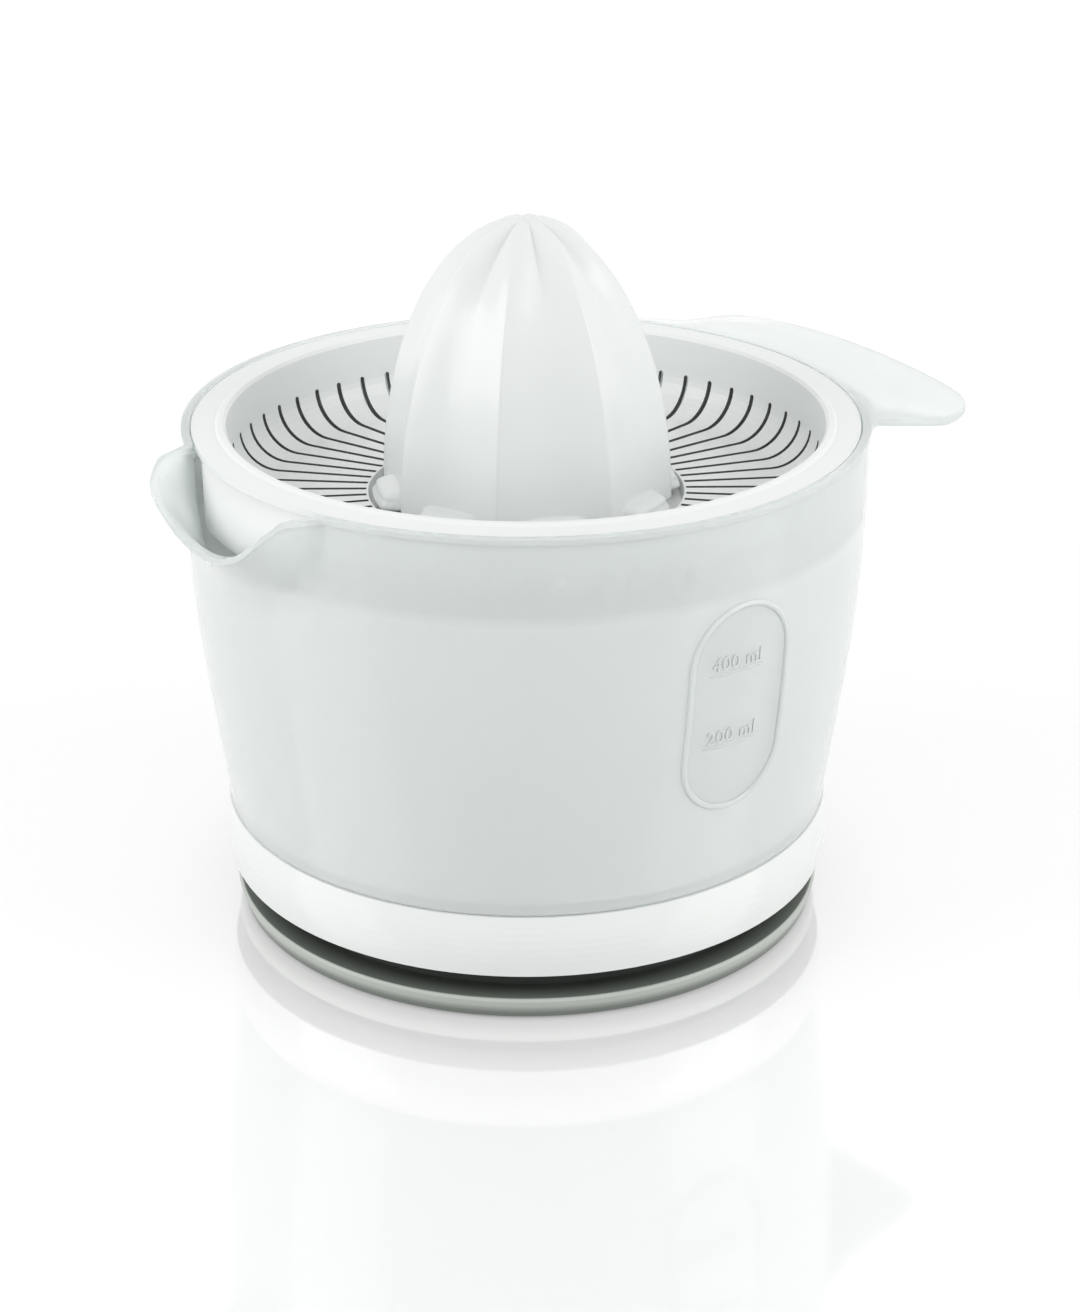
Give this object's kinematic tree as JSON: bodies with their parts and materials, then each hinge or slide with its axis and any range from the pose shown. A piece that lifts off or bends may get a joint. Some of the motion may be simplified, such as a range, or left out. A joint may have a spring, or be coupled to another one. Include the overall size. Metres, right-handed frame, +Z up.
{
  "type": "citrus press",
  "caption": "Electric citrus press: ribbed squeezing cone over a slotted sieve in a frosted pouring jug with a flat handle, on a low round motor base with a cord groove.",
  "frame": {"origin": "on the pressing axis, on the plane that the rubber feet stand on", "axes": "+Z up along the pressing axis, +X towards the handle, -X towards the spout, -Y towards the level window, +Y towards the cord outlet"},
  "size_m": [0.1941, 0.1637, 0.1714],
  "materials": {
    "white_gloss": "glossy moulded plastic",
    "grey_satin": "satin moulded plastic",
    "dark_rubber": "matte",
    "plated_steel": "zinc plated",
    "bright_steel": "ground",
    "ivory_plastic": "moulded acetal",
    "grey_nylon": "glass filled nylon",
    "black_plastic": "moulded",
    "red_plastic": "moulded",
    "wire_sleeve": "soft sleeve over stranded wire",
    "lamination": "stacked steel sheets",
    "copper": "enamelled winding wire",
    "bronze": "sintered, oil filled",
    "ferrite": "pressed ferrite",
    "frosted_clear": "frosted translucent outside",
    "white_sieve": "glossy moulded plastic",
    "white_cone": "glossy moulded plastic"
  },
  "bodies": {
    "base": {"base_housing": "white_gloss", "base_plate": "grey_satin", "rubber_feet": "dark_rubber", "base_screws": "plated_steel", "cord_gland": "dark_rubber", "terminal_block": "ivory_plastic", "lead_wires": "wire_sleeve", "gear_plate": "grey_nylon", "gear_plate_screws": "plated_steel", "stator_core": "lamination", "coil_bobbins": "ivory_plastic", "coil_windings": "copper", "motor_bracket": "plated_steel", "motor_screws": "plated_steel", "motor_bushes": "bronze", "gear_axle": "bright_steel", "thrust_washers": "plated_steel", "output_bush": "bronze", "shaft_seal": "dark_rubber", "switch_body": "black_plastic", "switch_screws": "plated_steel"},
    "output_drive": {"output_gear": "ivory_plastic", "return_spring": "bright_steel"},
    "intermediate_drive": {"intermediate_gear": "ivory_plastic"},
    "rotor": {"rotor_magnet": "ferrite", "motor_shaft": "bright_steel", "motor_pinion": "ivory_plastic"},
    "spindle": {"drive_spindle": "bright_steel", "spindle_clip": "plated_steel"},
    "switch_button": {"switch_plunger": "red_plastic"},
    "jug": {"jug": "frosted_clear"},
    "sieve": {"sieve": "white_sieve"},
    "cone": {"cone": "white_cone"}
  },
  "joints": [
    {"name": "output_spin", "type": "hinge", "parent": "base", "child": "output_drive", "pos_m": [0, 0, 0], "axis": [0, 0, 1], "continuous": true},
    {"name": "intermediate_spin", "type": "hinge", "parent": "base", "child": "intermediate_drive", "pos_m": [-0.01542, 0.02432, 0], "axis": [0, 0, 1], "continuous": true},
    {"name": "rotor_spin", "type": "hinge", "parent": "base", "child": "rotor", "pos_m": [-0.022, 0, 0], "axis": [0, 0, 1], "continuous": true},
    {"name": "spindle_press", "type": "slide", "parent": "output_drive", "child": "spindle", "axis": [0, 0, -1], "range_m": [0, 0.0016], "stiffness_N_per_m": 2000, "springref_m": -0.002, "deforming": ["return_spring"]},
    {"name": "switch_press", "type": "slide", "parent": "base", "child": "switch_button", "axis": [0, 0, -1], "range_m": [0, 0.0016]},
    {"name": "jug_lift", "type": "slide", "parent": "base", "child": "jug", "axis": [0, 0, 1], "range_m": [0, 0.13]},
    {"name": "sieve_lift", "type": "slide", "parent": "jug", "child": "sieve", "axis": [0, 0, 1], "range_m": [0, 0.052]},
    {"name": "cone_lift", "type": "slide", "parent": "spindle", "child": "cone", "axis": [0, 0, 1], "range_m": [0, 0.26]}
  ],
  "couplings": [
    {"joint": "intermediate_spin", "follows": "output_spin", "ratio": -5.4},
    {"joint": "rotor_spin", "follows": "output_spin", "ratio": 33.48},
    {"joint": "switch_press", "follows": "spindle_press", "ratio": 1},
    {"joint": "sieve_lift", "follows": "jug_lift", "ratio": 0.4},
    {"joint": "cone_lift", "follows": "jug_lift", "ratio": 2}
  ]
}
